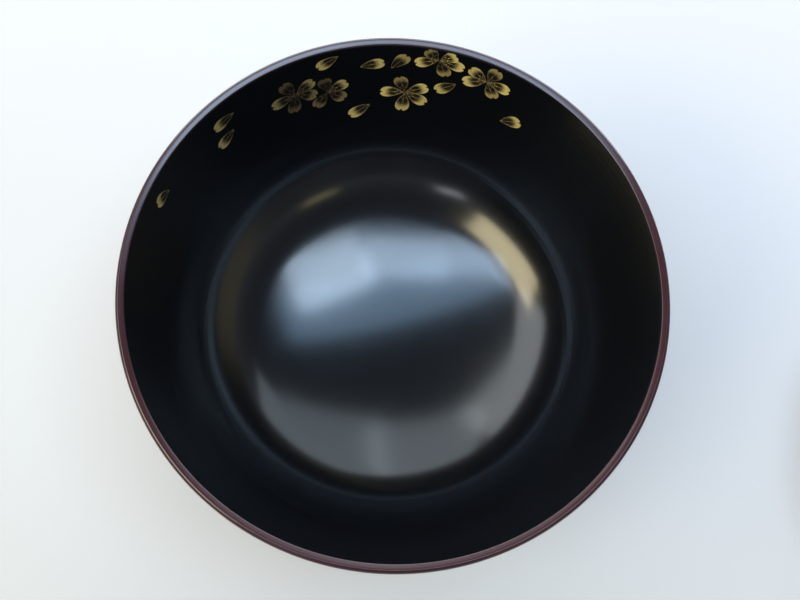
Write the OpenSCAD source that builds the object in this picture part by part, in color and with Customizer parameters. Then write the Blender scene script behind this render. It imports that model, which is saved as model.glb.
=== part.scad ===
// Lacquer soup bowl with a lid that covers the rim.
// The bowl stands at the origin on its foot ring, with its axis on Z.
// The lid lies upside down on its grip ring, to the right of the bowl.
// All lengths are in millimetres and all angles in degrees.

/* [Bowl] */
// Outer diameter of the mouth, over the lip
mouth_d = 115; // [100:1:180]
// Height from the table to the top of the lip
bowl_h = 67; // [60:1:100]
// Thickness of the full-round lip
lip_t = 2; // [1.4:0.1:4]
// Radius of the dished floor as a share of the mouth's radius
floor_share = 0.55; // [0.5:0.01:0.57]
// Slope of the floor where it meets the corner
dish_tilt = 20.5; // [18:0.5:23]
// Radius of the inside corner between floor and wall
corner_r = 28.5; // [24:0.5:30]
// How much more upright the wall stands at the lip than just above the corner
wall_bend = 11; // [6:0.5:16]
// Thickness of the corner between floor and wall
base_t = 4; // [3:0.1:5]

/* [Foot] */
// Outer diameter of the foot ring at the table
foot_d = 57; // [40:1:64]
// Width of the foot ring
foot_t = 3.2; // [2:0.1:6]
// How much narrower the ring's neck is than its base, on each side
foot_waist = 0.6; // [0:0.1:1.5]
// Depth of the round recess inside the foot ring
recess_depth = 8.5; // [4:0.5:9]
// Thickness of the floor between the recess and the middle of the inside
floor_t = 5; // [4:0.5:8]
// Bevel on the ring's outer edge at the table
foot_bevel = 0.5; // [0.3:0.1:1]

/* [Lacquer] */
// Thickness of each lacquer coat
coat_t = 0.3; // [0.2:0.05:0.5]
// How far over the lip's top the red-brown coat turns inwards
lip_wrap = 60; // [20:5:75]

/* [Cloth] */
// Thickness of the hemp cloth that strengthens edges under the lacquer
cloth_t = 0.25; // [0.15:0.05:0.35]
// Height of the cloth band below the bowl's lip
rim_cloth_h = 9; // [4:0.5:14]
// Height of the cloth band round the foot ring
foot_cloth_h = 5; // [3:0.5:6]
// Height of the cloth band round the lid's edge
lid_cloth_h = 5; // [2:0.5:7]

/* [Lid] */
// Play between the lid's skirt and the lip, on each side
lid_play = 0.8; // [0.6:0.05:1.6]
// Air left between the seated lid and the lip
seat_gap = 0.3; // [0.2:0.05:0.5]
// Thickness of the lid's wall and of its full-round edge
lid_t = 2.2; // [1.6:0.1:3]
// Thickness of the lid in the middle, inside the grip ring
crown_t = 3; // [2.6:0.1:4]
// Height of the straight skirt above the lid's round edge
skirt_h = 0.4; // [0.2:0.1:2]
// Inside radius of the lid's shoulder
shoulder_r = 10; // [7:0.5:14]
// Slope of the lid's dome where it meets the shoulder
dome_tilt = 20; // [14:1:24]
// Height of the whole lid, from its edge to the end of the grip ring
lid_h = 28; // [26:0.5:40]
// Outer diameter of the grip ring at its end
grip_d = 48; // [30:1:60]
// Width of the grip ring
grip_t = 3; // [2:0.1:5]
// How much narrower the grip ring's neck is than its end, on each side
grip_waist = 0.6; // [0:0.1:1.5]
// Bevel on the outer edge of the grip ring's end
grip_bevel = 0.5; // [0.3:0.1:1]
// Space on the table between the bowl's mouth and the lid
lid_space = 62; // [20:1:120]
// Turn of the lid: 0 lies beside the bowl, 180 covers it
lid_turn = 0; // [0:5:180]

/* [Gold] */
// Thickness of the gold ornament on the wall
gold_t = 0.1; // [0.05:0.05:0.2]
// Length of a petal that is seen square on
petal_l = 5.2; // [3:0.1:6]
// Width of a petal at its widest
petal_w = 3.7; // [2.5:0.1:4.5]
// Width of the finest gold lines
line_w = 0.35; // [0.2:0.05:0.6]
// Length of a stamen line
stamen_l = 2.2; // [1:0.1:3]

/* [Hidden] */

$fn = 96;
arc_steps = 14;
petal_steps = 7;
lean_tries = 12;

wood_colour = "#b98a58";
cloth_colour = "#b7a47c";
black_lacquer = "#0c0d10";
brown_lacquer = "#4a1c1e";
gold_colour = "#b79a45";

mouth_r = mouth_d / 2;
lip_r = lip_t / 2;
lip_mid = [mouth_r - lip_r, bowl_h - lip_r];
foot_r = foot_d / 2;
recess_r = foot_r - foot_t;
waist_r = foot_r - foot_waist;
floor_z = recess_depth + floor_t;
inside_depth = bowl_h - floor_z;
lid_in_r = mouth_r + lid_play;
edge_r = lid_t / 2;
edge_mid = [lid_in_r + edge_r, edge_r];
shoulder_mid = [lid_in_r - shoulder_r, edge_r + skirt_h];
dome_r = shoulder_mid[0] / sin(dome_tilt) + shoulder_r;
dome_mid = shoulder_mid - (dome_r - shoulder_r) * [sin(dome_tilt), cos(dome_tilt)];
crown_z = dome_mid[1] + dome_r + crown_t;
grip_r = grip_d / 2;
grip_in_r = grip_r - grip_t;
grip_neck_r = grip_r - grip_waist;

// Height of the lid's edge once its shoulder sits on the lip, and the axis it turns over on.
seat_reach = shoulder_r - lip_r;
seat_z = lip_mid[1] - shoulder_mid[1]
    - sqrt(pow(seat_reach - seat_gap, 2) - pow(seat_reach - lid_play, 2));
swing_x = mouth_r + (lid_space + lid_play + lid_t) / 2;
swing_z = (seat_z + lid_h) / 2;

// Places of the blossoms on the wall, hand drawn: azimuth, depth below the lip as a share of the
// inside depth, and for each petal its direction (0 is to the right, 90 is up) and its length share.
blossom_shares = [
    [125.4, 0.218, [[-172, 1.12], [119, 1.04], [30, 0.98], [-28, 1.00], [-103, 1.05]]],
    [117.3, 0.267, [[97, 0.88], [24, 0.95], [-40, 0.93], [-130, 0.92]]],
    [97.4, 0.312, [[179, 1.05], [107, 0.98], [26, 1.06], [-30, 1.08], [-95, 1.14]]],
    [90.0, 0.078, [[-158, 1.04], [137, 0.74], [34, 0.80], [-10, 1.08], [-68, 0.98]]],
    [77.8, 0.128, [[151, 0.92], [70, 0.98], [-1, 1.02], [-59, 0.92], [-155, 1.08]]]
];
// Places of the loose petals: azimuth and depth share of the middle, direction from tail to tip,
// length share.
loose_shares = [
    [116.5, 0.075, -152, 1.08], [105.9, 0.132, 10, 1.10], [99.4, 0.117, 52, 1.12],
    [109.3, 0.417, -148, 1.14], [87.3, 0.241, -140, 1.10], [68.9, 0.297, 31, 1.06],
    [144.5, 0.124, -172, 1.12], [145.6, 0.231, -157, 1.04], [167.6, 0.128, 161, 0.92]
];
// Half of a petal's outline, as shares of its length and of half its width: two end points and
// two handles of one smooth curve, then the notch.
petal_side_shares = [[0, 0], [0.26, 0.72], [0.84, 1.62], [1, 0.36]];
notch_share = 0.9;
// The dark heart left open in a petal: where it starts and ends along the petal, and its width.
heart_start_share = 0.16;
heart_length_share = 0.44;
heart_width_share = 0.5;

// Points of an arc round a centre.
function arc(c, r, a0, a1, n = arc_steps) =
    [for (i = [0:n]) let (a = a0 + (a1 - a0) * i / n) c + r * [cos(a), sin(a)]];

// The list without its first point, to join arcs end to end.
function rest_of(list) = [for (i = [1:1:len(list) - 1]) list[i]];

// The list from its last point to its first.
function reversed(list) = [for (i = [len(list) - 1:-1:0]) list[i]];

// The profile of one side of the bowl, from the axis to the lip: a dished floor, a round corner
// and a wall that curves until it meets the lip's circle. d is how far it lies outside the
// inside surface, below the wall's end, and side is -1 inside the lip and 1 outside it.
dish_r = floor_share * mouth_r / sin(dish_tilt);
floor_mid = [0, floor_z + dish_r];
corner_a = dish_tilt - 90;
corner_mid = floor_mid + (dish_r - corner_r) * [cos(corner_a), sin(corner_a)];
function wall_foot(d, low) = corner_mid + (corner_r + d) * [cos(low), -sin(low)];
function lip_point(side, lean, r) = lip_mid + side * r * [cos(lean), -sin(lean)];
function chord_lean(d, side, r, low, high) = let (
        v = lip_point(side, high, r) - wall_foot(d, low))
    atan2(v[0], v[1]);

// The wall's lean from upright just above the corner, found from how much the inside wall bends.
function low_lean(low, n) = n == 0 ? low :
    low_lean(chord_lean(0, -1, lip_r, low, low - wall_bend) + wall_bend / 2, n - 1);
wall_lean = low_lean(wall_bend, lean_tries);

// Its lean where it meets the lip.
function end_lean(d, side, r, lean, n) = n == 0 ? lean :
    end_lean(d, side, r, 2 * chord_lean(d, side, r, wall_lean, lean) - wall_lean, n - 1);
function lean_at_lip(d, side, r) = end_lean(d, side, r, wall_lean / 2, lean_tries);
function wall_arc(d, side, r) = let (
        lean = lean_at_lip(d, side, r),
        a = wall_foot(d, wall_lean),
        b = lip_point(side, lean, r),
        wall_r = norm(b - a) / (2 * sin((wall_lean - lean) / 2)),
        mid = a - wall_r * [cos(wall_lean), -sin(wall_lean)])
    arc(mid, wall_r, -wall_lean, -lean);
function bowl_side(d, side, r) = concat(
    arc(floor_mid, dish_r + d, -90, corner_a),
    rest_of(arc(corner_mid, corner_r + d, corner_a, -wall_lean)),
    rest_of(wall_arc(d, side, r)));

// The lip's circle, from the angle of one wall to another, over the top.
function lip_arc(r, from, to) = arc(lip_mid, r, from, to);

// Inside surface, the faces below the coats, and the angles where they meet the lip.
inside_line = bowl_side(0, -1, lip_r);
inside_core_line = bowl_side(coat_t, -1, lip_r - coat_t);
outside_line = bowl_side(base_t, 1, lip_r);
outside_core_line = bowl_side(base_t - coat_t, 1, lip_r - coat_t);
in_a = 180 - lean_at_lip(0, -1, lip_r);
in_core_a = 180 - lean_at_lip(coat_t, -1, lip_r - coat_t);
out_a = -lean_at_lip(base_t, 1, lip_r);
out_core_a = -lean_at_lip(base_t - coat_t, 1, lip_r - coat_t);
wrap_a = 90 + lip_wrap;

// The part of a line above or below a height, and the part beyond a radius.
function above(line, z) = [for (p = line) if (p[1] > z) p];
function below(line, z) = [for (p = line) if (p[1] < z) p];
function beyond(line, r) = [for (p = line) if (p[0] > r) p];
function inward(line, t) = [for (p = line) p - [t, 0]];

// The height of a line at a radius.
function height_at(line, r, i = 1) = i >= len(line) - 1 || line[i][0] >= r ?
    line[i - 1][1] + (line[i][1] - line[i - 1][1]) * (r - line[i - 1][0])
        / (line[i][0] - line[i - 1][0]) :
    height_at(line, r, i + 1);

// The point of a line at a height.
function point_at(line, z, i = 1) = i >= len(line) - 1
        || (line[i][1] - z) * (line[i - 1][1] - z) <= 0 ?
    line[i - 1] + (line[i] - line[i - 1]) * (z - line[i - 1][1]) / (line[i][1] - line[i - 1][1]) :
    point_at(line, z, i + 1);

// Outline of the foot ring's half section, drawn in by d from its finished surface.
function foot_half(line, d) = [
    [waist_r - d, height_at(line, waist_r - d)],
    [foot_r - d, foot_bevel + d],
    [foot_r - foot_bevel - d, d],
    [recess_r + d, d],
    [recess_r + d, recess_depth + d],
    [0, recess_depth + d]
];

// The bowl's outer surface from the lip down to the axis, drawn in by d.
function outer_surface(line, d) =
    concat(reversed(beyond(line, waist_r - d)), foot_half(line, d));

module turned(points) {
    rotate_extrude() polygon(points);
}

module bowl_core() {
    color(wood_colour) difference() {
        turned(concat(inside_core_line,
            rest_of(lip_arc(lip_r - coat_t, in_core_a, out_core_a)),
            rest_of(outer_surface(outside_core_line, coat_t))));
        rim_cloth_band();
        foot_cloth_band();
    }
}

module bowl_inner_lacquer() {
    color(black_lacquer) turned(concat(inside_line,
        rest_of(lip_arc(lip_r, in_a, wrap_a)),
        lip_arc(lip_r - coat_t, wrap_a, in_core_a),
        rest_of(reversed(inside_core_line))));
}

module bowl_outer_lacquer() {
    color(brown_lacquer) turned(concat(lip_arc(lip_r, wrap_a, out_a),
        rest_of(outer_surface(outside_line, 0)),
        reversed(outer_surface(outside_core_line, coat_t)),
        rest_of(lip_arc(lip_r - coat_t, out_core_a, wrap_a))));
}

// A band of cloth let into the core, just under the outer coat.
module rim_cloth_band() {
    low = bowl_h - rim_cloth_h;
    face = concat([point_at(outside_core_line, low)], above(outside_core_line, low));
    turned(concat(face, reversed(inward(face, cloth_t))));
}

module foot_cloth_band() {
    edge = reversed(foot_half(outside_core_line, coat_t));
    neck = [edge[len(edge) - 2], edge[len(edge) - 1]];
    low = foot_bevel + coat_t + cloth_t;
    face = [point_at(neck, low), point_at(neck, low + foot_cloth_h)];
    turned(concat(face, reversed(inward(face, cloth_t))));
}

module rim_cloth() {
    color(cloth_colour) rim_cloth_band();
}

module foot_cloth() {
    color(cloth_colour) foot_cloth_band();
}

// A petal's outline with its tail at the origin and its tip along X.
function bezier(p, t) = pow(1 - t, 3) * p[0] + 3 * pow(1 - t, 2) * t * p[1]
    + 3 * (1 - t) * pow(t, 2) * p[2] + pow(t, 3) * p[3];
function petal_points(l, w) = let (
        side = [for (i = [0:petal_steps]) let (p = bezier(petal_side_shares, i / petal_steps))
            [p[0] * l, p[1] * w / 2]])
    concat(side, [[notch_share * l, 0]],
        reversed([for (p = rest_of(side)) [p[0], -p[1]]]));

module petal(l) {
    difference() {
        polygon(petal_points(l, petal_w));
        translate([heart_start_share * l, 0])
            polygon(petal_points(heart_length_share * l, heart_width_share * petal_w));
    }
}

// A flat drawing put on the wall at an azimuth and a depth, as a radial prism.
module on_wall(azimuth, depth_share) {
    z = bowl_h - depth_share * inside_depth;
    rotate([0, 0, azimuth]) translate([mouth_r / 2, 0, z]) rotate([90, 0, 90])
        linear_extrude(mouth_r / 2) mirror([1, 0]) children();
}

// The thin layer of gold on the inside wall, from which the drawings are cut.
module gold_layer() {
    face = above(inside_line, wall_foot(0, wall_lean)[1]);
    turned(concat(face, reversed(inward(face, gold_t))));
}

module gold_blossoms() {
    color(gold_colour) intersection() {
        gold_layer();
        union() for (b = blossom_shares) on_wall(b[0], b[1]) for (p = b[2]) rotate(p[0]) {
            translate([line_w, 0]) petal(p[1] * petal_l);
            translate([0, -line_w / 2]) square([stamen_l, line_w]);
        }
    }
}

module gold_petals() {
    color(gold_colour) intersection() {
        gold_layer();
        union() for (p = loose_shares) on_wall(p[0], p[1])
            rotate(p[2]) translate([-p[3] * petal_l / 2, 0]) petal(p[3] * petal_l);
    }
}

// The lid, drawn right side up with its edge at height zero: a domed crown, a round shoulder and a
// short upright skirt with a full-round edge. d is the distance out from the inside surface.
function lid_line(d) = concat(
    arc(dome_mid, dome_r + d, 90, 90 - dome_tilt),
    rest_of(arc(shoulder_mid, shoulder_r + d, 90 - dome_tilt, 0)),
    [[lid_in_r + d, edge_mid[1]]]);
function edge_arc(r) = arc(edge_mid, r, 0, -180);

// The lid's top surface from the axis out to the edge, with the grip ring, drawn in by d.
function lid_top(line, d) = concat(
    [[0, crown_z - d],
    [grip_in_r + d, crown_z - d],
    [grip_in_r + d, lid_h - d],
    [grip_r - grip_bevel - d, lid_h - d],
    [grip_r - d, lid_h - grip_bevel - d],
    [grip_neck_r - d, height_at(line, grip_neck_r - d)]],
    beyond(line, grip_neck_r - d));

// Puts the lid on its grip ring beside the bowl, and turns it over from there onto the bowl.
module lid_place() {
    translate([swing_x, 0, swing_z]) rotate([0, 180 - lid_turn, 0])
        translate([-swing_x, 0, seat_z - swing_z]) children();
}

module lid_cloth_band() {
    high = edge_mid[1] + lid_cloth_h;
    face = concat([point_at(lid_line(lid_t - coat_t), high)],
        below(lid_line(lid_t - coat_t), high));
    turned(concat(face, reversed(inward(face, cloth_t))));
}

module lid_core() {
    color(wood_colour) lid_place() difference() {
        turned(concat(lid_top(lid_line(lid_t - coat_t), coat_t),
            rest_of(edge_arc(edge_r - coat_t)),
            rest_of(reversed(lid_line(coat_t)))));
        lid_cloth_band();
    }
}

module lid_inner_lacquer() {
    color(black_lacquer) lid_place()
        turned(concat(lid_line(0), reversed(lid_line(coat_t))));
}

module lid_outer_lacquer() {
    color(brown_lacquer) lid_place() turned(concat(
        lid_top(lid_line(lid_t), 0),
        rest_of(edge_arc(edge_r)),
        reversed(edge_arc(edge_r - coat_t)),
        rest_of(reversed(lid_top(lid_line(lid_t - coat_t), coat_t)))));
}

module lid_cloth() {
    color(cloth_colour) lid_place() lid_cloth_band();
}

bowl_core();
bowl_inner_lacquer();
bowl_outer_lacquer();
rim_cloth();
foot_cloth();
gold_blossoms();
gold_petals();
lid_core();
lid_inner_lacquer();
lid_outer_lacquer();
lid_cloth();
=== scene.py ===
# %% [markdown]
# # A lacquer soup bowl with its lid
# The bowl is turned from wood and covered with lacquer: black inside, dark red-brown outside.
# Gold cherry blossoms drift along the far wall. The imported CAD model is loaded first, because it
# fixes every size and place. The pieces made here lie over it, in metres, in the same frame.

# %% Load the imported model
import math
import bpy
from mathutils import Matrix, Vector


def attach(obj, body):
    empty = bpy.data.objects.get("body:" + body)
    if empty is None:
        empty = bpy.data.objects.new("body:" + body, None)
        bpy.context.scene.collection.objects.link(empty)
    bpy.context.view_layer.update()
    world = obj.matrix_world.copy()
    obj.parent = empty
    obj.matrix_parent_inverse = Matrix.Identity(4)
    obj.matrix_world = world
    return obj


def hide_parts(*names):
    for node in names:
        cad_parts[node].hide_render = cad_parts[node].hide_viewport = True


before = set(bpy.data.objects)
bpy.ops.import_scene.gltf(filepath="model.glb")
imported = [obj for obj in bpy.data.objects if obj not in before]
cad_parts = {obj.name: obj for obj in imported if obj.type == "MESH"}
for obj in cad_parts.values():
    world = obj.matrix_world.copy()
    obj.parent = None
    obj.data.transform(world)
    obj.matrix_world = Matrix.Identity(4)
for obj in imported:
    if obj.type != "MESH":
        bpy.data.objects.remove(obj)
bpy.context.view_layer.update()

# %% [markdown]
# The photograph looks down into the bowl, a little from the near side, with the camera rolled
# clockwise. The rim is a true circle, so its ellipse in the picture gives the camera's tilt and
# distance. A camera's own axes are the columns of its rotation matrix: right, up and backward.

# %% Camera
view_width = math.radians(45)
tilt = math.radians(15.27)
roll = math.radians(10.68)
looked_at = Vector((0.00126, -0.00268, 0.066))
distance = 0.1998

backward = Vector((0, -math.sin(tilt), math.cos(tilt)))
level_right = Vector((1, 0, 0))
level_up = backward.cross(level_right)
right = level_right * math.cos(roll) + level_up * math.sin(roll)
up = level_up * math.cos(roll) - level_right * math.sin(roll)

camera_data = bpy.data.cameras.new("camera")
camera_data.sensor_width = 36
camera_data.lens = camera_data.sensor_width / 2 / math.tan(view_width / 2)
camera_data.clip_start = 0.005
camera = bpy.data.objects.new("camera", camera_data)
bpy.context.scene.collection.objects.link(camera)
bpy.context.scene.camera = camera
turn = Matrix((right, up, backward)).transposed().to_4x4()
camera.matrix_world = Matrix.Translation(looked_at + backward * distance) @ turn
print("lens in mm:", round(camera_data.lens, 2))

# %% [markdown]
# A bowl like this is turned on a lathe. The turner holds a template of the section against it, so
# the section is what has to be right. It is a chain of arcs that run smoothly into each other: a
# dished floor, a round corner, a slightly curved wall and a round lip. The floor's arc takes
# floor_share of the mouth's radius, and there it has risen to floor_tilt degrees.

# %% Sizes of the bowl
mouth_r = 0.0575
bowl_h = 0.067
lip_r = 0.001
floor_z = 0.0135
floor_share = 0.55
floor_tilt = 20.5
floor_arc_r = floor_share * mouth_r / math.sin(math.radians(floor_tilt))
corner_r = 0.0285
base_t = 0.004
wall_bend = 11
coat_t = 0.0003
lip_wrap = 60

foot_r = 0.0285
neck_r = 0.0279
recess_r = 0.0253
recess_z = 0.0085
foot_bevel = 0.0005


def at_angle(middle, radius, degrees):
    """The point on a circle in the XZ plane, as (x, z)."""
    angle = math.radians(degrees)
    return Vector((middle[0] + radius * math.cos(angle), middle[1] + radius * math.sin(angle)))


lip_mid = Vector((mouth_r - lip_r, bowl_h - lip_r))
floor_mid = Vector((0, floor_z + floor_arc_r))
corner_mid = at_angle(floor_mid, floor_arc_r - corner_r, floor_tilt - 90)
print("floor curves at", round(1000 * floor_arc_r, 1), "mm")


def chord_lean(foot, end):
    """How far the line from foot to end leans from upright, in degrees."""
    return math.degrees(math.atan2(end[0] - foot[0], end[1] - foot[1]))


# %% [markdown]
# The wall's arc has to leave the corner and meet the lip without a kink. Its lean at the bottom is
# found by trying a value, measuring the chord, and correcting it a few times.

# %% Lean of the wall
lean_tries = 12
wall_lean = wall_bend
for attempt in range(lean_tries):
    wall_foot = at_angle(corner_mid, corner_r, -wall_lean)
    wall_end = at_angle(lip_mid, -lip_r, wall_bend - wall_lean)
    wall_lean = chord_lean(wall_foot, wall_end) + wall_bend / 2


def wall_arc(radius, side):
    """Lean at the lip and middle of the arc from the corner to one side of the lip."""
    foot = at_angle(corner_mid, radius, -wall_lean)
    lean = wall_lean / 2
    for attempt in range(lean_tries):
        end = at_angle(lip_mid, side * lip_r, -lean)
        lean = 2 * chord_lean(foot, end) - wall_lean
    reach = (end - foot).length / (2 * math.sin(math.radians((wall_lean - lean) / 2)))
    return lean, at_angle(foot, -reach, -wall_lean)


inner_lean, inner_mid = wall_arc(corner_r, -1)
outer_lean, outer_mid = wall_arc(corner_r + base_t, 1)
print("wall leans", round(wall_lean, 2), "to", round(inner_lean, 2), "inside",
      round(outer_lean, 2), "outside")

# %% [markdown]
# A section can be drawn from one vertex. A plane is added and merged to its centre, which leaves a
# single point. Spin then carries the point round an arc, and extrude carries it along a line. Both
# leave the new end selected, so the next stroke goes on from there.

# %% Helpers: draw a section
def deselect_all():
    """Leaves edit mode and selects nothing, so an operator acts only on what comes next."""
    if bpy.context.mode != "OBJECT":
        bpy.ops.object.mode_set(mode="OBJECT")
    bpy.ops.object.select_all(action="DESELECT")


def start_section(name, x, z):
    """A new piece that is one selected vertex at x, z, in edit mode."""
    deselect_all()
    bpy.ops.mesh.primitive_plane_add(size=0.001, location=(x, 0, z))
    piece = bpy.context.object
    piece.name = name
    piece.data.name = name
    bpy.ops.object.transform_apply(location=True, rotation=True, scale=True)
    bpy.ops.object.mode_set(mode="EDIT")
    bpy.ops.mesh.select_all(action="SELECT")
    bpy.ops.mesh.merge(type="CENTER")
    return piece


def draw_arc(middle, degrees, steps):
    """Goes on round middle. Positive degrees run from the floor up the wall."""
    bpy.ops.mesh.spin(steps=steps, angle=math.radians(degrees),
                      center=(middle[0], 0, middle[1]), axis=(0, 1, 0))


def draw_line(dx, dz):
    """Goes on in a straight line."""
    bpy.ops.mesh.extrude_region_move(TRANSFORM_OT_translate={"value": (dx, 0, dz)})


# %% [markdown]
# A sharp corner of the section is rounded by a bevel on its one vertex. The section is then spun
# once round its axis. Points lie on each other where the turn closes and where it meets the axis,
# so they are merged, and only then are the normals worked out.

# %% Helpers: round a corner and turn the section
merge_reach = 2e-6


def select_points(piece, wanted):
    """Selects the vertices for which wanted(place) is true, and returns to edit mode."""
    bpy.ops.mesh.select_mode(type="VERT")
    bpy.ops.mesh.select_all(action="DESELECT")
    bpy.ops.object.mode_set(mode="OBJECT")
    for vertex in piece.data.vertices:
        vertex.select = wanted(vertex.co)
    bpy.ops.object.mode_set(mode="EDIT")


def round_off(piece, x, z, size):
    """Rounds the section's corner at x, z."""
    corner = Vector((x, 0, z))
    select_points(piece, lambda place: (place - corner).length < merge_reach)
    bpy.ops.mesh.bevel(offset=size, segments=5, affect="VERTICES")


def turn_section(piece, axis_x, steps=256):
    """Spins the section once round the axis and closes its seam and its pole."""
    bpy.ops.mesh.select_all(action="SELECT")
    bpy.ops.mesh.spin(steps=steps, angle=2 * math.pi, center=(axis_x, 0, 0), axis=(0, 0, 1))
    bpy.ops.mesh.select_all(action="SELECT")
    bpy.ops.mesh.remove_doubles(threshold=merge_reach)
    bpy.ops.mesh.normals_make_consistent(inside=False)
    bpy.ops.object.mode_set(mode="OBJECT")


# %% [markdown]
# A coat of lacquer is a thin skin, so each is made as a single sheet first and gets its thickness
# from a Solidify modifier. Solidify grows against the normals here. They have to point at the
# eye before it is applied, and an open sheet can come out either way, so one face is tested.

# %% Helper: give a turned sheet its thickness
smooth_below = math.radians(35)


def face_outwards(piece, test_place, test_normal):
    """Flips the sheet if its face nearest to test_place points away from test_normal."""
    nearest = min(piece.data.polygons, key=lambda face: (face.center - test_place).length)
    if nearest.normal.dot(test_normal) < 0:
        bpy.ops.object.mode_set(mode="EDIT")
        bpy.ops.mesh.select_all(action="SELECT")
        bpy.ops.mesh.flip_normals()
        bpy.ops.object.mode_set(mode="OBJECT")


def apply_modifier(piece, kind, **settings):
    """Adds a modifier with these settings and applies it."""
    modifier = piece.modifiers.new(kind.title(), kind)
    for setting, value in settings.items():
        setattr(modifier, setting, value)
    bpy.context.view_layer.objects.active = piece
    bpy.ops.object.modifier_apply(modifier=modifier.name)


def finish_coat(piece, test_place, test_normal, body, node):
    """Gives a sheet the coat's thickness and lets it stand for its CAD node."""
    face_outwards(piece, test_place, test_normal)
    apply_modifier(piece, "SOLIDIFY", thickness=coat_t, offset=-1)
    deselect_all()
    piece.select_set(True)
    bpy.context.view_layer.objects.active = piece
    bpy.ops.object.shade_smooth_by_angle(angle=smooth_below)
    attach(piece, body)
    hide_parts(node)
    print(piece.name, "has", len(piece.data.polygons), "faces")


# %% [markdown]
# ## The bowl's coats
# The black coat covers the floor and wall and ends just inside the top of the lip. There the
# red-brown coat takes over, goes round the lip and down the outside, and covers the foot ring
# and the recess within it. Each is drawn as one section and turned, as the bowl itself was.

# %% Black coat inside the bowl
floor_steps = 22
corner_steps = 24
wall_steps = 26

inner_coat = start_section("inner_lacquer_coat", 0, floor_z)
draw_arc(floor_mid, floor_tilt, floor_steps)
draw_arc(corner_mid, 90 - floor_tilt - wall_lean, corner_steps)
draw_arc(inner_mid, wall_lean - inner_lean, wall_steps)
draw_arc(lip_mid, inner_lean + lip_wrap - 90, steps=4)
turn_section(inner_coat, 0)
finish_coat(inner_coat, Vector((0, 0, floor_z)), Vector((0, 0, 1)), "bowl", "bowl_inner_lacquer")

# %% [markdown]
# In the photograph the lip's top mirrors one tone over most of its width: pale at the far side,
# dark at the left, brown at the right. A full round would show thin bright lines instead. So the
# coat was rubbed nearly flat there, and this land leans in towards the bowl. It is an arc of large
# radius over a chord of the lip's circle.

# %% Land on the lip
land_lean = 21
land_half = 34
land_arc_r = 0.008
land_reach = math.degrees(math.asin(lip_r * math.sin(math.radians(land_half)) / land_arc_r))
land_back = (lip_r * math.cos(math.radians(land_half))
             - land_arc_r * math.cos(math.radians(land_reach)))
land_mid = at_angle(lip_mid, land_back, 90 + land_lean)
print("land in mm:", round(2000 * lip_r * math.sin(math.radians(land_half)), 2))

# %% [markdown]
# The foot's corners are rounded, because lacquer pulls back from a sharp edge and gathers in an
# inner one.

# %% Red-brown coat outside the bowl
neck_angle = -math.degrees(math.acos(neck_r / (floor_arc_r + base_t)))
neck_z = at_angle(floor_mid, floor_arc_r + base_t, neck_angle)[1]
wrap_start = at_angle(lip_mid, lip_r, 90 + lip_wrap)
neck_round = 0.0012
edge_round = 0.0002
inner_edge_round = 0.0004
recess_round = 0.0008

outer_coat = start_section("outer_lacquer_coat", wrap_start[0], wrap_start[1])
draw_arc(lip_mid, land_lean + land_half - lip_wrap, steps=2)
draw_arc(land_mid, -2 * land_reach, steps=8)
draw_arc(lip_mid, land_half - land_lean - 90 - outer_lean, steps=16)
draw_arc(outer_mid, outer_lean - wall_lean, wall_steps)
draw_arc(corner_mid, wall_lean - 90 + floor_tilt, corner_steps)
draw_arc(floor_mid, neck_angle + 90 - floor_tilt, steps=3)
draw_line(foot_r - neck_r, foot_bevel - neck_z)
draw_line(-foot_bevel, -foot_bevel)
draw_line(recess_r - foot_r + foot_bevel, 0)
draw_line(0, recess_z)
draw_line(-recess_r, 0)
round_off(outer_coat, neck_r, neck_z, neck_round)
round_off(outer_coat, foot_r, foot_bevel, edge_round)
round_off(outer_coat, foot_r - foot_bevel, 0, edge_round)
round_off(outer_coat, recess_r, 0, inner_edge_round)
round_off(outer_coat, recess_r, recess_z, recess_round)
turn_section(outer_coat, 0)
finish_coat(outer_coat, Vector((0, 0, recess_z)), Vector((0, 0, -1)), "bowl",
            "bowl_outer_lacquer")

# %% [markdown]
# ## The lid's coats
# The photograph leaves the lid out of its frame. A lid that covers the rim is customary with gold
# this high on the wall, and it is put down on its grip ring, hollow side up, so that its edge
# stays clean. Its section is therefore drawn upside down, on an axis beside the bowl.

# %% Sizes of the lid
lid_x = 0.18
lid_h = 0.028
rim_gap = 0.0008
lid_in_r = mouth_r + rim_gap
lid_t = 0.0022
edge_r = lid_t / 2
skirt_h = 0.0004
shoulder_r = 0.01
dome_tilt = 20
crown_t = 0.003
grip_r = 0.024
grip_neck_r = 0.0234
grip_in_r = 0.021
grip_bevel = 0.0005
grip_round = 0.001

edge_mid = Vector((lid_x + lid_in_r + edge_r, lid_h - edge_r))
shoulder_mid = Vector((lid_x + lid_in_r - shoulder_r, edge_mid[1] - skirt_h))
dome_r = (lid_in_r - shoulder_r) / math.sin(math.radians(dome_tilt)) + shoulder_r
dome_mid = Vector((lid_x, at_angle(shoulder_mid, dome_r - shoulder_r, 90 + dome_tilt)[1]))
dome_low = dome_mid[1] - dome_r
print("lid is", round(2000 * (lid_in_r + lid_t), 1), "mm across")

# %% Black coat inside the lid
lid_inner_coat = start_section("lid_inner_lacquer_coat", lid_x, dome_low)
draw_arc(dome_mid, dome_tilt, wall_steps)
draw_arc(shoulder_mid, 90 - dome_tilt, corner_steps)
draw_line(0, skirt_h)
turn_section(lid_inner_coat, lid_x)
finish_coat(lid_inner_coat, Vector((lid_x, 0, dome_low)), Vector((0, 0, 1)), "lid",
            "lid_inner_lacquer")

# %% Red-brown coat outside the lid
grip_angle = -math.degrees(math.acos(grip_neck_r / (dome_r + lid_t)))
grip_neck_z = at_angle(dome_mid, dome_r + lid_t, grip_angle)[1]
crown_z = dome_low - crown_t

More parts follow.
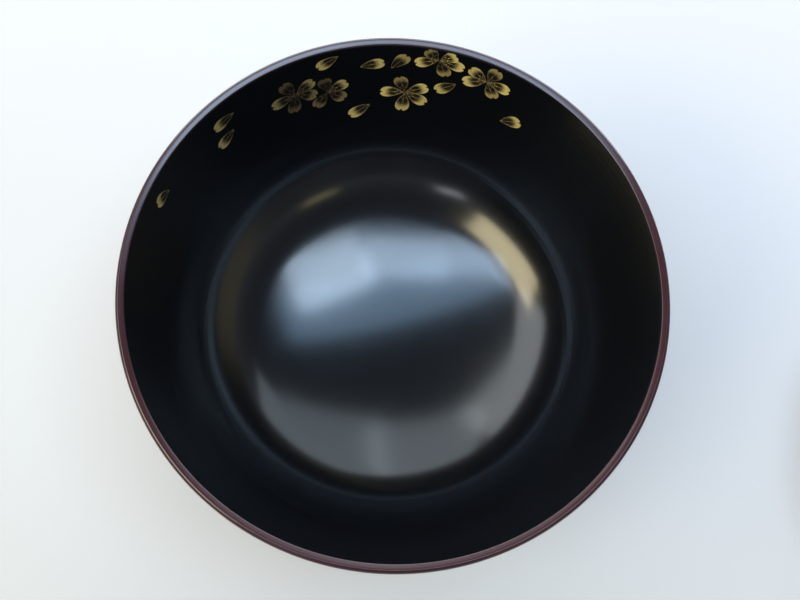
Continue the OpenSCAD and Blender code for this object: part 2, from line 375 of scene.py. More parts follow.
lid_outer_coat = start_section("lid_outer_lacquer_coat", lid_x + lid_in_r, edge_mid[1])
draw_arc(edge_mid, -180, steps=20)
draw_line(0, -skirt_h)
draw_arc(shoulder_mid, dome_tilt - 90, corner_steps)
draw_arc(dome_mid, 90 - dome_tilt + grip_angle, steps=20)
draw_line(grip_r - grip_neck_r, grip_bevel - grip_neck_z)
draw_line(-grip_bevel, -grip_bevel)
draw_line(grip_in_r - grip_r + grip_bevel, 0)
draw_line(0, crown_z)
draw_line(-grip_in_r, 0)
round_off(lid_outer_coat, lid_x + grip_neck_r, grip_neck_z, grip_round)
round_off(lid_outer_coat, lid_x + grip_r, grip_bevel, edge_round)
round_off(lid_outer_coat, lid_x + grip_r - grip_bevel, 0, edge_round)
round_off(lid_outer_coat, lid_x + grip_in_r, 0, inner_edge_round)
round_off(lid_outer_coat, lid_x + grip_in_r, crown_z, recess_round)
turn_section(lid_outer_coat, lid_x)
finish_coat(lid_outer_coat, Vector((lid_x, 0, crown_z)), Vector((0, 0, -1)), "lid",
            "lid_outer_lacquer")

# %% [markdown]
# ## The gold
# The blossoms are drawn in wet lacquer and dusted with gold powder, which leaves a film only a few
# hundredths of a millimetre thick. One petal is modelled flat from a grid: each column of points
# is moved and narrowed until the grid has the petal's outline. The grid keeps its UV map, so the
# finish can later be drawn along and across every petal.

# %% Outline of a petal
petal_l = 0.0052
petal_w = 0.0034
petal_side = [(0, 0), (0.26, 0.72), (0.84, 1.62), (1, 0.36)]
notch_depth = 0.10
notch_reach = 0.60
columns = 22
rows = 12
least_half = 1e-6
grid_slack = 0.1


def on_curve(points, share):
    """A point of the smooth curve that two end points and two handles give."""
    rest = 1 - share
    weights = (rest ** 3, 3 * rest ** 2 * share, 3 * rest * share ** 2, share ** 3)
    along = sum(weight * point[0] for weight, point in zip(weights, points))
    across = sum(weight * point[1] for weight, point in zip(weights, points))
    return along, across


# %% Helpers: shape a flat leaf from a grid
def start_grid(name, across_count, along_count):
    """A square grid of side 1 with its left edge on the Y axis."""
    deselect_all()
    bpy.ops.mesh.primitive_grid_add(x_subdivisions=along_count, y_subdivisions=across_count,
                                    size=1, location=(0.5, 0, 0))
    leaf = bpy.context.object
    leaf.name = name
    bpy.ops.object.transform_apply(location=True)
    return leaf


def select_members(leaf, members):
    """Selects the vertices with these numbers, and returns to edit mode."""
    bpy.ops.mesh.select_all(action="DESELECT")
    bpy.ops.object.mode_set(mode="OBJECT")
    for vertex in leaf.data.vertices:
        vertex.select = vertex.index in members
    bpy.ops.object.mode_set(mode="EDIT")


def shape_column(leaf, members, along, half_width):
    """Moves one column of the grid to a place along the leaf and narrows it there."""
    select_members(leaf, members)
    here = leaf.data.vertices[min(members)].co[0]
    bpy.ops.transform.translate(value=(along - here, 0, 0))
    bpy.ops.transform.resize(value=(1, 2 * half_width, 1), center_override=(along, 0, 0))


def shape_leaf(leaf, along_count, outline):
    """Gives the grid an outline: a list of (along, half width), one for each column."""
    members = []
    for step in range(along_count + 1):
        place = step / along_count
        members.append({vertex.index for vertex in leaf.data.vertices
                        if abs(vertex.co[0] - place) < grid_slack / along_count})
    bpy.ops.object.mode_set(mode="EDIT")
    bpy.ops.mesh.select_mode(type="VERT")
    for step in range(along_count + 1):
        shape_column(leaf, members[step], outline[step][0], outline[step][1])
    bpy.ops.object.mode_set(mode="OBJECT")


# %% One petal, flat, with its tail at the origin
petal = start_grid("petal_pattern", rows, columns)
row_members = []
for step in range(rows + 1):
    place = step / rows - 0.5
    row_members.append([vertex.index for vertex in petal.data.vertices
                        if abs(vertex.co[1] - place) < grid_slack / rows])
petal_outline = []
for step in range(columns + 1):
    along, across = on_curve(petal_side, step / columns)
    petal_outline.append((along * petal_l, max(across * petal_w / 2, least_half)))
shape_leaf(petal, columns, petal_outline)

# The notch: the rows near the middle are shortened towards the tail, the middle one most.
bpy.ops.object.mode_set(mode="EDIT")
for step in range(rows + 1):
    select_members(petal, row_members[step])
    from_middle = abs(2 * step / rows - 1)
    shorten = 1 - notch_depth * max(0, 1 - from_middle / notch_reach)
    bpy.ops.transform.resize(value=(shorten, 1, 1), center_override=(0, 0, 0))
bpy.ops.object.mode_set(mode="OBJECT")
print("petal outline:", [round(1000 * side, 2) for side in petal.dimensions])

# %% [markdown]
# A stamen is a hair-thin line with a dot at its end. It comes from a narrower grid in the same
# way: the columns stay slim along the thread and then swell to the round dot. The dot's outline
# is a half circle that begins a little way round, where it is about as wide as the thread.

# %% One stamen, flat
stamen_l = 0.0022
thread_half = 0.00005
dot_r = 0.00014
stamen_columns = 18
thread_columns = 8
dot_begins = 0.1
stamen_outline = []
for step in range(stamen_columns + 1):
    if step <= thread_columns:
        along = (stamen_l - 2 * dot_r) * step / thread_columns
        stamen_outline.append((along, thread_half))
    else:
        round_share = (step - thread_columns) / (stamen_columns - thread_columns)
        angle = math.pi * (dot_begins + (1 - dot_begins) * round_share)
        along = stamen_l - dot_r - dot_r * math.cos(angle)
        stamen_outline.append((along, max(dot_r * math.sin(angle), least_half)))
stamen = start_grid("stamen_pattern", 2, stamen_columns)
shape_leaf(stamen, stamen_columns, stamen_outline)
print("stamen outline:", [round(1000 * side, 2) for side in stamen.dimensions])

# %% [markdown]
# Where each blossom stands was read off the photograph: its azimuth round the bowl, its depth
# below the lip, and the direction, length and brightness of every petal. A loose petal has the
# same five numbers in one row. Brightness here is how thickly the powder was dusted, with painted
# shade folded in: the blossoms towards the left get less, for the shade on that side of the wall.
# It is stored on the petal's points, for the gold finish to read.

# %% Places of the blossoms and petals
inside_depth = bowl_h - floor_z
blossoms = [
    (125.4, 0.218, [(-172, 1.12, 0.45), (119, 1.04, 0.15), (30, 0.98, 0.48), (-28, 1.00, 0.35),
                    (-103, 1.05, 0.18)]),
    (117.3, 0.267, [(97, 0.88, 0.15), (24, 0.95, 0.65), (-40, 0.93, 0.38),
                    (-130, 0.92, 0.32)]),
    (97.4, 0.312, [(179, 1.05, 0.95), (107, 0.98, 0.45), (26, 1.06, 0.85), (-30, 1.08, 0.75),
                   (-95, 1.14, 0.70)]),
    (90.0, 0.078, [(-158, 1.04, 1.00), (137, 0.74, 0.45), (34, 0.80, 1.00), (-10, 1.08, 1.00),
                   (-68, 0.98, 0.50)]),
    (77.8, 0.128, [(151, 0.92, 0.75), (70, 0.98, 0.50), (-1, 1.02, 1.00), (-59, 0.92, 0.55),
                   (-155, 1.08, 0.90)]),
]
loose_petals = [
    (116.5, 0.075, -152, 1.08, 0.75), (105.9, 0.132, 10, 1.10, 0.80),
    (99.4, 0.117, 52, 1.12, 0.55), (109.3, 0.417, -148, 1.14, 0.80),
    (87.3, 0.241, -140, 1.10, 0.75), (68.9, 0.297, 31, 1.06, 0.75),
    (144.5, 0.124, -172, 1.12, 0.60), (145.6, 0.231, -157, 1.04, 0.60),
    (167.6, 0.128, 161, 0.92, 0.60),
]
print(len(blossoms), "blossoms and", len(loose_petals), "loose petals")


# %% Helpers: place the drawing on the wall
def copy_leaf(pattern, direction, length_share, start, powder_and_shade):
    """A copy with its own mesh, turned and moved in the drawing's plane."""
    leaf = pattern.copy()
    leaf.data = pattern.data.copy()
    bpy.context.scene.collection.objects.link(leaf)
    layer = leaf.data.attributes.new("powder_and_shade", "FLOAT", "POINT")
    layer.data.foreach_set("value", [powder_and_shade] * len(leaf.data.vertices))
    angle = math.radians(direction)
    leaf.rotation_euler = (0, 0, angle)
    leaf.scale = (length_share, 1, 1)
    leaf.location = (start * math.cos(angle), start * math.sin(angle), 0)
    return leaf


def lay_on_wall(leaves, name, azimuth, depth_share, height):
    """Joins the leaves, stands them before the wall and wraps them onto it."""
    deselect_all()
    for leaf in leaves:
        leaf.select_set(True)
    bpy.context.view_layer.objects.active = leaves[0]
    bpy.ops.object.transform_apply(location=True, rotation=True, scale=True)
    bpy.ops.object.join()
    drawing = bpy.context.object
    drawing.name = name
    angle = math.radians(azimuth)
    drawing.rotation_euler = (math.radians(90), 0, angle - math.radians(90))
    drawing.location = (mouth_r / 2 * math.cos(angle), mouth_r / 2 * math.sin(angle),
                        bowl_h - depth_share * inside_depth)
    bpy.context.view_layer.update()
    bpy.ops.object.mode_set(mode="EDIT")
    bpy.ops.mesh.select_all(action="SELECT")
    bpy.ops.mesh.bisect(plane_co=(0, 0, lip_mid[1]), plane_no=(0, 0, 1), clear_outer=True)
    bpy.ops.object.mode_set(mode="OBJECT")
    apply_modifier(drawing, "SHRINKWRAP", target=inner_coat, wrap_method="PROJECT",
                   use_project_z=True, use_positive_direction=False,
                   use_negative_direction=True, offset=height)
    bpy.ops.object.transform_apply(location=True, rotation=True, scale=True)
    return drawing


# %% [markdown]
# Each blossom gets its petals and three stamens towards every petal. Petals overlap a little at
# the heart of the flower, so each lies a few thousandths of a millimetre above the last. Every
# second blossom is raised as well, because neighbours touch, and the stamens lie over all petals.
# The fan gives each stamen's angle beside its petal, and how much of its length it has there.

# %% Lay the blossoms
film_t = 0.00003
film_step = 0.000006
petal_start = 0.00035
stamen_start = 0.0001
stamen_level = 8
stamen_powder = 0.8
stamen_fan = {-17: 0.86, 0: 1.08, 17: 0.86}
bpy.context.view_layer.update()

blossom_layers = []
for number, (azimuth, depth_share, petals) in enumerate(blossoms):
    raised = 2 * (number % 2)
    for level, (direction, length_share, powder_and_shade) in enumerate(petals):
        leaf = copy_leaf(petal, direction, length_share, petal_start, powder_and_shade)
        height = film_t + film_step * (level + raised)
        blossom_layers.append(lay_on_wall([leaf], "blossom_petal", azimuth, depth_share, height))
    threads = []
    for direction, length_share, powder_and_shade in petals:
        for offset, reach in stamen_fan.items():
            threads.append(copy_leaf(stamen, direction + offset, reach, stamen_start,
                                     powder_and_shade * stamen_powder))
    height = film_t + film_step * stamen_level
    blossom_layers.append(lay_on_wall(threads, "stamens", azimuth, depth_share, height))
print(len(blossom_layers), "layers of gold in the blossoms")

# %% Lay the loose petals
loose_layers = []
for azimuth, depth_share, direction, length_share, powder_and_shade in loose_petals:
    leaf = copy_leaf(petal, direction, length_share, -length_share * petal_l / 2, powder_and_shade)
    loose_layers.append(lay_on_wall([leaf], "loose_petal", azimuth, depth_share, film_t))
print(len(loose_layers), "loose petals laid")

# %% [markdown]
# The layers become two pieces, one for the blossoms and one for the loose petals, because the CAD
# model has the same two. Solidify gives them the film's thickness, and the two flat patterns that
# were copied are no longer needed.

# %% Join the gold and give it thickness
solid_share = 0.8
gold_merge_reach = 1e-6


def finish_gold(layers, name, node):
    """Joins the layers to one piece that stands for the node."""
    deselect_all()
    for layer in layers:
        layer.select_set(True)
    bpy.context.view_layer.objects.active = layers[0]
    bpy.ops.object.join()
    gold = bpy.context.object
    gold.name = name
    gold.data.name = name
    apply_modifier(gold, "SOLIDIFY", thickness=film_t * solid_share, offset=-1)
    bpy.ops.object.mode_set(mode="EDIT")
    bpy.ops.mesh.select_all(action="SELECT")
    bpy.ops.mesh.remove_doubles(threshold=gold_merge_reach)
    bpy.ops.object.mode_set(mode="OBJECT")
    bpy.ops.object.shade_smooth_by_angle(angle=smooth_below)
    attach(gold, "bowl")
    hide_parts(node)
    print(name, "has", len(gold.data.polygons), "faces")
    return gold


gold_blossoms = finish_gold(blossom_layers, "gold_blossom_film", "gold_blossoms")
gold_petals = finish_gold(loose_layers, "gold_petal_film", "gold_petals")
bpy.data.objects.remove(petal)
bpy.data.objects.remove(stamen)

# %% [markdown]
# ## Finishes
# Each finish is a tree of nodes that ends in one Principled shader. A few small helpers make such
# a tree short to write: they add a node, feed its inputs and hand back its output.

# %% Helpers: a material and its nodes
def new_material(name):
    """A material with its node tree and its Principled shader."""
    material = bpy.data.materials.new(name)
    material.use_nodes = True
    shader = material.node_tree.nodes["Principled BSDF"]
    return material, material.node_tree, shader


def feed(tree, value, socket):
    """Links another node's output to an input, or sets the input to a number or colour."""
    if isinstance(value, bpy.types.NodeSocket):
        tree.links.new(value, socket)
    elif value is not None:
        socket.default_value = value


def add(tree, kind, **inputs):
    """A new node with some of its inputs fed."""
    node = tree.nodes.new(kind)
    for name, value in inputs.items():
        feed(tree, value, node.inputs[name])
    return node


# %% Helpers: sums, mixes and ramps
def math_node(tree, operation, first, second=None, third=None):
    """The result of one sum. Each of its terms is a number or another node's output."""
    node = tree.nodes.new("ShaderNodeMath")
    node.operation = operation
    for socket, value in zip(node.inputs, (first, second, third)):
        feed(tree, value, socket)
    return node.outputs[0]


def mix_colour(tree, share, first, second):
    """The first colour where share is 0, the second where it is 1."""
    node = tree.nodes.new("ShaderNodeMix")
    node.data_type = "RGBA"
    feed(tree, share, node.inputs[0])
    feed(tree, first, node.inputs[6])
    feed(tree, second, node.inputs[7])
    return node.outputs[2]


def ramp(tree, value, low, high):
    """0 below low, 1 above high, smooth between."""
    node = tree.nodes.new("ShaderNodeMapRange")
    node.interpolation_type = "SMOOTHSTEP"
    feed(tree, value, node.inputs["Value"])
    feed(tree, low, node.inputs["From Min"])
    feed(tree, high, node.inputs["From Max"])
    return node.outputs[0]


# %% Helpers: places, noise and bump
def place_on_axis(tree, axis_x, rise=0, stretch=(1, 1, 1)):
    """Object coordinates, measured from an upright axis at axis_x."""
    place = tree.nodes.new("ShaderNodeTexCoord")
    return add(tree, "ShaderNodeMapping", Vector=place.outputs["Object"],
               Location=(-axis_x, 0, rise), Scale=stretch).outputs[0]


def split_place(tree, place):
    """The X, Y and Z of a place."""
    node = tree.nodes.new("ShaderNodeSeparateXYZ")
    feed(tree, place, node.inputs[0])
    return node.outputs[0], node.outputs[1], node.outputs[2]


def noise(tree, place, scale, detail):
    """Noise between 0 and 1. A larger scale makes it finer, and detail adds finer layers."""
    return add(tree, "ShaderNodeTexNoise", Vector=place, Scale=scale, Detail=detail).outputs[0]


def add_bump(tree, shader, height, strength, distance):
    """Lets light fall as if the surface rose by height times distance, in metres."""
    bump = add(tree, "ShaderNodeBump", Height=height, Strength=strength, Distance=distance)
    tree.links.new(bump.outputs[0], shader.inputs["Normal"])


# %% [markdown]
# Lacquer is nearly black, so almost all that is seen of it is reflection. What makes it look
# hand-made is in the surface: faint rings left by turning and rubbing down, and a slow waviness
# that bends a reflection's edge. All coats have them, so they are a node group: a small tree with
# named inputs and outputs, built once and placed in each material with that material's values.

# %% Helpers: node groups
VECTOR, FLOAT = "NodeSocketVector", "NodeSocketFloat"


def new_group(name, inputs, outputs):
    """A node group with named inputs (name, kind, value) and outputs (name, kind)."""
    tree = bpy.data.node_groups.new(name, "ShaderNodeTree")
    for label, kind, value in inputs:
        socket = tree.interface.new_socket(label, in_out="INPUT", socket_type=kind)
        if value is not None:
            socket.default_value = value
    for label, kind in outputs:
        tree.interface.new_socket(label, in_out="OUTPUT", socket_type=kind)
    return tree, tree.nodes.new("NodeGroupInput"), tree.nodes.new("NodeGroupOutput")


def place_group(tree, group, **inputs):
    """Places a group and feeds its inputs. An underscore stands for a space in their names."""
    node = tree.nodes.new("ShaderNodeGroup")
    node.node_tree = group
    for name, value in inputs.items():
        feed(tree, value, node.inputs[name.replace("_", " ")])
    return node


# %% [markdown]
# A lathe tool leaves the same mark all round, so the rings follow the distance from the axis plus
# the height. The wall also has slow ripples, which a brushed coat keeps as it flows out. They are
# a sine of the same distance, and a second sine shifts it, so that they aren't evenly spaced.

# %% Shared group: turned surface
ring_scale = 900.0
ring_drift = 0.02
wave_scale = 60.0
haze_scale = 220.0
ripple_pace = 1900.0
shift_pace = 430.0
ripple_shift = 2.5
ripples_begin = 0.037
ripples_full = 0.050

turned_group, g_in, g_out = new_group(
    "turned_surface",
    [("Place", VECTOR, None), ("Ring Scale", FLOAT, ring_scale), ("Wave Scale", FLOAT, wave_scale)],
    [("Rings", FLOAT), ("Waves", FLOAT), ("Haze", FLOAT), ("Ripples", FLOAT)])
place = g_in.outputs["Place"]
x, y, z = split_place(turned_group, place)
squared = math_node(turned_group, "MULTIPLY", x, x)
squared = math_node(turned_group, "MULTIPLY_ADD", y, y, squared)
radius = math_node(turned_group, "SQRT", squared)
outward = math_node(turned_group, "ADD", radius, z)
drift = math_node(turned_group, "MULTIPLY", x, ring_drift)
ring_place = add(turned_group, "ShaderNodeCombineXYZ", X=outward, Y=drift).outputs[0]
rings = noise(turned_group, ring_place, g_in.outputs["Ring Scale"], 3.0)
waves = noise(turned_group, place, g_in.outputs["Wave Scale"], 1.0)
haze = noise(turned_group, place, haze_scale, 4.0)
phase = math_node(turned_group, "MULTIPLY", outward, shift_pace)
phase = math_node(turned_group, "SINE", phase)
phase = math_node(turned_group, "MULTIPLY", phase, ripple_shift)
phase = math_node(turned_group, "MULTIPLY_ADD", outward, ripple_pace, phase)
on_wall = ramp(turned_group, radius, ripples_begin, ripples_full)
ripples = math_node(turned_group, "MULTIPLY", math_node(turned_group, "SINE", phase), on_wall)
for label, mark in (("Rings", rings), ("Waves", waves), ("Haze", haze), ("Ripples", ripples)):
    turned_group.links.new(mark, g_out.inputs[label])
print(turned_group.name, "has", len(turned_group.nodes), "nodes")

# %% [markdown]
# Lacquer thins where it runs over an edge, and rubbing there brings out a paler or warmer tone.
# The second shared group gives a mask for that: it is strong close to a stated height and fades
# away from it, broken up by noise so that it doesn't look printed.

# %% Shared group: thin lacquer at an edge
bowl_edge_reach = 0.0006
patch_scale = 170.0

edge_group, g_in, g_out = new_group(
    "thin_at_edge",
    [("Place", VECTOR, None), ("Height", FLOAT, bowl_h), ("Reach", FLOAT, bowl_edge_reach)],
    [("Mask", FLOAT)])
place = g_in.outputs["Place"]
z = split_place(edge_group, place)[2]
away = math_node(edge_group, "SUBTRACT", z, g_in.outputs["Height"])
away = math_node(edge_group, "ABSOLUTE", away)
near = math_node(edge_group, "DIVIDE", away, g_in.outputs["Reach"])
near = math_node(edge_group, "SUBTRACT", 1.0, near)
near = math_node(edge_group, "MAXIMUM", near, 0.0)
mask = math_node(edge_group, "MULTIPLY", near, noise(edge_group, place, patch_scale, 3.0))
edge_group.links.new(mask, g_out.inputs["Mask"])
print(edge_group.name, "has", len(edge_group.nodes), "nodes")

# %% [markdown]
# A coat's colour hazes a little between two tones and changes at the edge. The same marks make it
# slightly rougher or smoother, and a bump of about a hundredth of a millimetre bends what it
# mirrors. A deeper bump would break the reflections up.

# %% Helper: lacquer
gloss_change = 0.03
wave_height = 5.0
ripple_height = 4.0
mark_depth = 0.0000012


def lacquer(name, look, axis_x, edge_height, edge_reach):
    """Lacquer of one look, turned about an upright axis at axis_x."""
    colour, haze_colour, edge_colour, roughness, ior = look
    material, tree, shader = new_material(name)
    place = place_on_axis(tree, axis_x)
    surface = place_group(tree, turned_group, Place=place, Ring_Scale=ring_scale,
                          Wave_Scale=wave_scale).outputs
    edge = place_group(tree, edge_group, Place=place, Height=edge_height,
                       Reach=edge_reach).outputs["Mask"]
    body = mix_colour(tree, surface["Haze"], colour, haze_colour)
    body = mix_colour(tree, edge, body, edge_colour)
    tree.links.new(body, shader.inputs["Base Color"])
    gloss = roughness - gloss_change
    for mark in (surface["Rings"], surface["Haze"], edge):
        gloss = math_node(tree, "MULTIPLY_ADD", mark, gloss_change, gloss)
    tree.links.new(gloss, shader.inputs["Roughness"])
    shader.inputs["IOR"].default_value = ior
    height = math_node(tree, "MULTIPLY", surface["Waves"], wave_height)
    height = math_node(tree, "ADD", height, surface["Rings"])
    height = math_node(tree, "MULTIPLY_ADD", surface["Ripples"], ripple_height, height)
    add_bump(tree, shader, height, 1.0, mark_depth)
    return material


# %% [markdown]
# The two looks are written once, so that the lid matches the bowl. Each is the coat's colour, its
# hazed colour, its colour at the edge, its roughness and its index of refraction. The black
# mirrors the room more strongly than the red-brown does, so its index is higher.

# %% Lacquer the coats
black_look = ((0.0024, 0.0028, 0.0038, 1), (0.0034, 0.0033, 0.0038, 1), (0.006, 0.006, 0.006, 1),
              0.17, 1.65)
brown_look = ((0.027, 0.0065, 0.0080, 1), (0.034, 0.0085, 0.0095, 1),
              (0.036, 0.0065, 0.0085, 1), 0.19, 1.5)
outer_edge_reach = 0.0009
lid_edge_reach = 0.0002

black_inside = lacquer("black_lacquer", black_look, 0.0, bowl_h, bowl_edge_reach)
brown_outside = lacquer("red_brown_lacquer", brown_look, 0.0, bowl_h, outer_edge_reach)
lid_black = lacquer("lid_black_lacquer", black_look, lid_x, lid_h, lid_edge_reach)
lid_brown = lacquer("lid_red_brown_lacquer", brown_look, lid_x, lid_h, outer_edge_reach)
for piece, material, slot_name in ((inner_coat, black_inside, "black_lacquer"),
                                   (outer_coat, brown_outside, "brown_lacquer"),
                                   (lid_inner_coat, lid_black, "black_lacquer"),
                                   (lid_outer_coat, lid_brown, "brown_lacquer")):
    piece.data.materials.clear()
    piece.data.materials.append(material)
    print(piece.name, "is finished in", material.name)

# %% [markdown]
# The gold is powder, not leaf. The material works in the petal's own UV: u runs from tail to tip
# and v across. The tip is dusted most densely, further back along its sides than in its middle. An
# outline, a vein down the middle and the tail are dusted more thinly. Between them the black shows
# through.

# %% Gold powder: what is drawn on a petal
tip_begins, tip_full, tip_bend = 0.54, 0.88, 0.25
outline_begins, outline_full = 0.76, 0.90
vein_ends = 0.09
tail_full, tail_ends = 0.06, 0.18
line_share = 0.46

gold, tree, shader = new_material("gold_powder")
coordinates = tree.nodes.new("ShaderNodeTexCoord")
along, across = split_place(tree, coordinates.outputs["UV"])[:2]
across = math_node(tree, "MULTIPLY_ADD", across, 2.0, -1.0)
across = math_node(tree, "ABSOLUTE", across)
tip_place = math_node(tree, "MULTIPLY", across, across)
tip_place = math_node(tree, "MULTIPLY_ADD", tip_place, tip_bend, along)
tip = ramp(tree, tip_place, tip_begins, tip_full)
outline = ramp(tree, across, outline_begins, outline_full)
vein = math_node(tree, "SUBTRACT", 1.0, ramp(tree, across, 0.0, vein_ends))
tail = math_node(tree, "SUBTRACT", 1.0, ramp(tree, along, tail_full, tail_ends))
line = math_node(tree, "MAXIMUM", outline, vein)
line = math_node(tree, "MAXIMUM", line, tail)
line = math_node(tree, "MULTIPLY", line, line_share)
drawn = math_node(tree, "MAXIMUM", tip, line)

# %% [markdown]
# Seen close, the powder is a crowd of grains. Where the wanted coverage is higher than a very fine
# noise there is a grain, and elsewhere the alpha is 0. The petal's powder value says how thickly
# it was dusted, with painted shade for the left of the wall folded in, and it changes the coverage
# as well as the brightness.

# %% Gold powder: coverage and grains
powder_full = 1.05
cover_gain, cover_least = 0.62, 0.33
grain_scale = 14000.0
grain_low, grain_high = 0.32, 0.68
grain_sharpness = 6.0

powder_and_shade = tree.nodes.new("ShaderNodeAttribute")
powder_and_shade.attribute_name = "powder_and_shade"
# The powder value holds painted shade as well as the dusting, so the coverage it gives is partly
# painted shade.
thickness_and_shade = ramp(tree, powder_and_shade.outputs["Fac"], 0.0, powder_full)
cover = math_node(tree, "MULTIPLY_ADD", thickness_and_shade, cover_gain, cover_least)
cover = math_node(tree, "MULTIPLY", drawn, cover)
grain = noise(tree, coordinates.outputs["Object"], grain_scale, 2.0)
shown = math_node(tree, "SUBTRACT", cover, ramp(tree, grain, grain_low, grain_high))
shown = math_node(tree, "MULTIPLY_ADD", shown, grain_sharpness, 0.5)
shown = math_node(tree, "MINIMUM", shown, 1.0)
shown = math_node(tree, "MAXIMUM", shown, 0.0)
tree.links.new(shown, shader.inputs["Alpha"])

# %% Gold powder: colour and gloss
tone_scale = 900.0
bright_gain, bright_least = 0.55, 0.45
yellow_gold = (1.0, 0.76, 0.20, 1)
warm_gold = (0.95, 0.69, 0.25, 1)
dim_gold = (0.20, 0.125, 0.065, 1)

tone = noise(tree, coordinates.outputs["Object"], tone_scale, 2.0)
gold_colour = mix_colour(tree, tone, yellow_gold, warm_gold)
# Painted shade: petals with a low powder value, as towards the left of the wall, lean to dim_gold.
bright = math_node(tree, "MULTIPLY_ADD", tip, bright_gain, bright_least)
bright = math_node(tree, "MULTIPLY", bright, thickness_and_shade)
gold_colour = mix_colour(tree, bright, dim_gold, gold_colour)
tree.links.new(gold_colour, shader.inputs["Base Color"])
shader.inputs["Metallic"].default_value = 0.35
shader.inputs["Roughness"].default_value = 0.5
add_bump(tree, shader, grain, 0.6, 0.00001)
for piece in (gold_blossoms, gold_petals):
    piece.data.materials.clear()
    piece.data.materials.append(gold)
    print(piece.name, "is finished in", gold.name)

# %% [markdown]
# The wood and the hemp cloth lie hidden under the lacquer. They keep their CAD shapes and get
# finishes of their own, so that a section through the bowl shows what it is made of. Turned wood
# shows its year rings as long bands, because the blank's grain runs across the bowl.

# %% Helper: turned wood
pale_wood = (0.52, 0.33, 0.17, 1)
dark_wood = (0.36, 0.20, 0.09, 1)
pore_wood = (0.24, 0.13, 0.06, 1)
heart_depth = 0.09
grain_stretch = (0.18, 1, 1)


def turned_wood(name, axis_x):
    """Wood whose grain runs along X, cut from beside the heart of the log."""
    material, tree, shader = new_material(name)
    place = place_on_axis(tree, axis_x, heart_depth, grain_stretch)
    bands = add(tree, "ShaderNodeTexWave", Vector=place, Scale=70.0, Distortion=3.0, Detail=2.0)
    bands.wave_type = "RINGS"
    bands.rings_direction = "X"
    pores = noise(tree, place, 2600.0, 4.0)
    wood = mix_colour(tree, bands.outputs["Fac"], pale_wood, dark_wood)
    wood = mix_colour(tree, math_node(tree, "MULTIPLY", pores, 0.35), wood, pore_wood)
    tree.links.new(wood, shader.inputs["Base Color"])
    shader.inputs["Roughness"].default_value = 0.62
    add_bump(tree, shader, pores, 0.4, 0.00005)
    return material


# %% Helper: hemp cloth
warp_pace = 360.0
weft_pace = 6300.0
low_thread = (0.30, 0.24, 0.14, 1)
high_thread = (0.55, 0.46, 0.29, 1)
loose_fibre = (0.40, 0.32, 0.20, 1)


def hemp_cloth(name, axis_x):
    """A plain weave round an upright axis: one thread set runs round, the other up."""
    material, tree, shader = new_material(name)
    place = place_on_axis(tree, axis_x)
    x, y, z = split_place(tree, place)
    around = math_node(tree, "ARCTAN2", y, x)
    warp = math_node(tree, "SINE", math_node(tree, "MULTIPLY", around, warp_pace))
    weft = math_node(tree, "SINE", math_node(tree, "MULTIPLY", z, weft_pace))
    weave = math_node(tree, "MULTIPLY", warp, weft)
    weave = math_node(tree, "MULTIPLY_ADD", weave, 0.5, 0.5)
    fibres = noise(tree, place, 5000.0, 3.0)
    cloth = mix_colour(tree, weave, low_thread, high_thread)
    cloth = mix_colour(tree, math_node(tree, "MULTIPLY", fibres, 0.4), cloth, loose_fibre)
    tree.links.new(cloth, shader.inputs["Base Color"])
    shader.inputs["Roughness"].default_value = 0.85
    add_bump(tree, shader, weave, 0.6, 0.0001)
    return material


# %% Finish the wood and the cloth
hidden_finishes = {
    "bowl_core": turned_wood("bowl_wood", 0.0),
    "lid_core": turned_wood("lid_wood", lid_x),
    "rim_cloth": hemp_cloth("bowl_hemp", 0.0),
    "lid_cloth": hemp_cloth("lid_hemp", lid_x),
}
hidden_finishes["foot_cloth"] = hidden_finishes["rim_cloth"]
for node_name, material in hidden_finishes.items():
    node_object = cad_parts[node_name]
    node_object.data.materials.clear()
    node_object.data.materials.append(material)
    print(node_name, "is finished in", material.name)

# %% [markdown]
# ## The table and the light
# The bowl stands on smooth white board. Its colour carries painted shade: it turns darker towards
# the near side and, less, towards the left, for the light's falloff across the table. The painted
# shade depends only on the place on the board, so it is put into the board's colour.

# %% Table
pale_board = (0.585, 0.545, 0.525, 1)
painted_shade_board = (0.49, 0.45, 0.405, 1)
# Painted shade: these slopes darken the board towards the near side and the left, standing in for
# the light's falloff.
shade_at_bowl, shade_along_x, shade_along_y = 0.42, -1.6, -4.0

deselect_all()
bpy.ops.mesh.primitive_plane_add(size=6, location=(0, 0, 0))
table = bpy.context.object
table.name = "table"
board, tree, shader = new_material("white_board")
coordinates = tree.nodes.new("ShaderNodeTexCoord")
x, y = split_place(tree, coordinates.outputs["Object"])[:2]
shade = math_node(tree, "MULTIPLY_ADD", x, shade_along_x, shade_at_bowl)
shade = math_node(tree, "MULTIPLY_ADD", y, shade_along_y, shade)
shade = math_node(tree, "MAXIMUM", shade, 0.0)
shade = math_node(tree, "MINIMUM", shade, 1.0)
board_colour = mix_colour(tree, shade, pale_board, painted_shade_board)
tree.links.new(board_colour, shader.inputs["Base Color"])
shader.inputs["Roughness"].default_value = 0.75
table.data.materials.append(board)
print(table.name, "is finished in", board.name)

# %% [markdown]
# A dish of black lacquer works like a curved mirror: the picture inside it is a picture of the
# lights. So they are placed by what the floor and the wall of the bowl have to show. A ray from
# the camera to a spot in the bowl, mirrored there, points at the light that the spot shows.

# %% Helper: a soft light
light_reach = 1.5


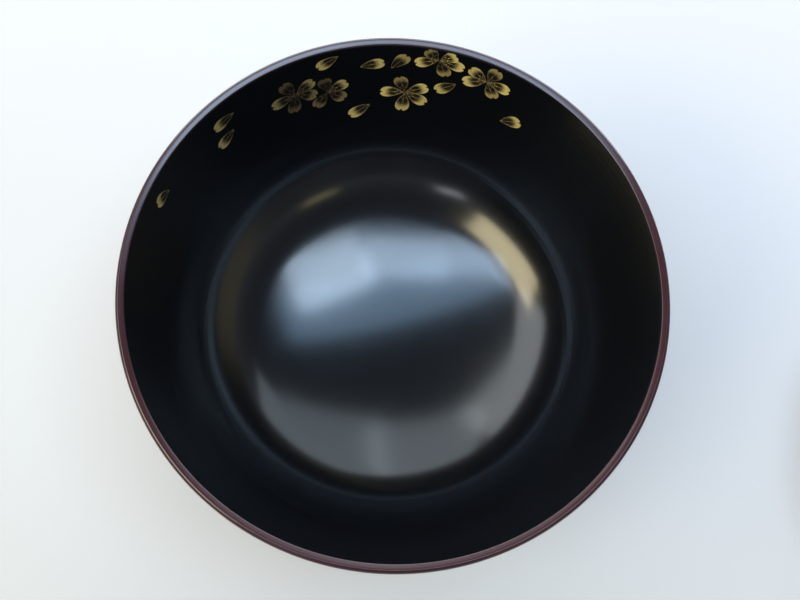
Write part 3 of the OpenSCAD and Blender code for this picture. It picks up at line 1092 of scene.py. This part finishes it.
def soft_light(name, toward_x, toward_y, width, height, spin, radiance, colour):
    """A flat soft light that faces the bowl. toward_x and toward_y say how many degrees it
    stands from overhead, width and height how many degrees it spans, and spin turns it."""
    zenith = math.radians(math.hypot(toward_x, toward_y))
    azimuth = math.atan2(toward_y, toward_x)
    toward = Vector((math.sin(zenith) * math.cos(azimuth), math.sin(zenith) * math.sin(azimuth),
                     math.cos(zenith)))
    outward = Vector((math.cos(zenith) * math.cos(azimuth), math.cos(zenith) * math.sin(azimuth),
                      -math.sin(zenith)))
    sideways = Vector((-math.sin(azimuth), math.cos(azimuth), 0))
    angle = azimuth - math.radians(spin)
    lamp_x = outward * math.cos(angle) - sideways * math.sin(angle)
    lamp_y = outward * math.sin(angle) + sideways * math.cos(angle)
    lamp = bpy.data.lights.new(name, "AREA")
    lamp.shape = "RECTANGLE"
    lamp.size = 2 * light_reach * math.tan(math.radians(width / 2))
    lamp.size_y = 2 * light_reach * math.tan(math.radians(height / 2))
    lamp.color = colour
    lamp.energy = radiance * math.pi * lamp.size * lamp.size_y
    holder = bpy.data.objects.new(name, lamp)
    bpy.context.scene.collection.objects.link(holder)
    axes = Matrix((lamp_x, lamp_y, toward)).transposed().to_4x4()
    middle = toward * light_reach + Vector((0, 0, floor_z))
    holder.matrix_world = Matrix.Translation(middle) @ axes
    print(name, "is", round(1000 * lamp.size), "x", round(1000 * lamp.size_y), "mm")


# %% Lights
soft_light("sky_left", 18.5, -2, 22, 15, 36, 10.2, (0.60, 0.79, 1.0))
soft_light("sky_middle", -1, -10.5, 23, 11, 8, 9.0, (0.56, 0.76, 1.0))
soft_light("sky_right", -25, -15, 25, 13, 5, 6.0, (0.60, 0.78, 1.0))
soft_light("sky_below", -1, 0, 62, 15, 25, 3.2, (0.42, 0.68, 1.0))
soft_light("window", -42, -27, 36, 21, -40, 7.6, (1.0, 0.88, 0.55))
soft_light("ceiling", 15.2, 48.5, 38, 28, 3, 1.6, (0.76, 0.90, 1.0))
soft_light("ceiling_corner", -17, 43.5, 28, 25, 20, 1.75, (0.80, 0.92, 1.0))
soft_light("ceiling_right", -45, 15, 47, 26, 62, 2.7, (0.90, 0.96, 1.0))
soft_light("lamp_behind", -17, -58, 11, 6, 5, 3.0, (0.90, 0.96, 1.0))
soft_light("shelf_glint", 42, -41, 14, 5, 40, 1.6, (1.0, 0.85, 0.45))
soft_light("far_low", -10, 75, 90, 20, 8, 7.5, (0.88, 0.94, 1.0))

# %% [markdown]
# The room around the bowl is a plain grey that gets darker overhead, so that the lights stand out
# in the lacquer. Only the camera's own rays see a pale backdrop beyond the board.

# %% Room
low_room = (0.30, 0.31, 0.33, 1)
high_room = (0.10, 0.11, 0.13, 1)
backdrop = (0.90, 0.92, 0.95, 1)

world = bpy.data.worlds.new("room")
bpy.context.scene.world = world
world.use_nodes = True
tree = world.node_tree
background = tree.nodes["Background"]
coordinates = tree.nodes.new("ShaderNodeTexCoord")
z = split_place(tree, coordinates.outputs["Generated"])[2]
room_colour = mix_colour(tree, ramp(tree, z, 0.30, 0.75), low_room, high_room)
path = tree.nodes.new("ShaderNodeLightPath")
seen = mix_colour(tree, path.outputs["Is Camera Ray"], room_colour, backdrop)
tree.links.new(seen, background.inputs["Color"])
background.inputs["Strength"].default_value = 1.0
bpy.context.scene.view_settings.view_transform = "Standard"
print("world:", world.name)
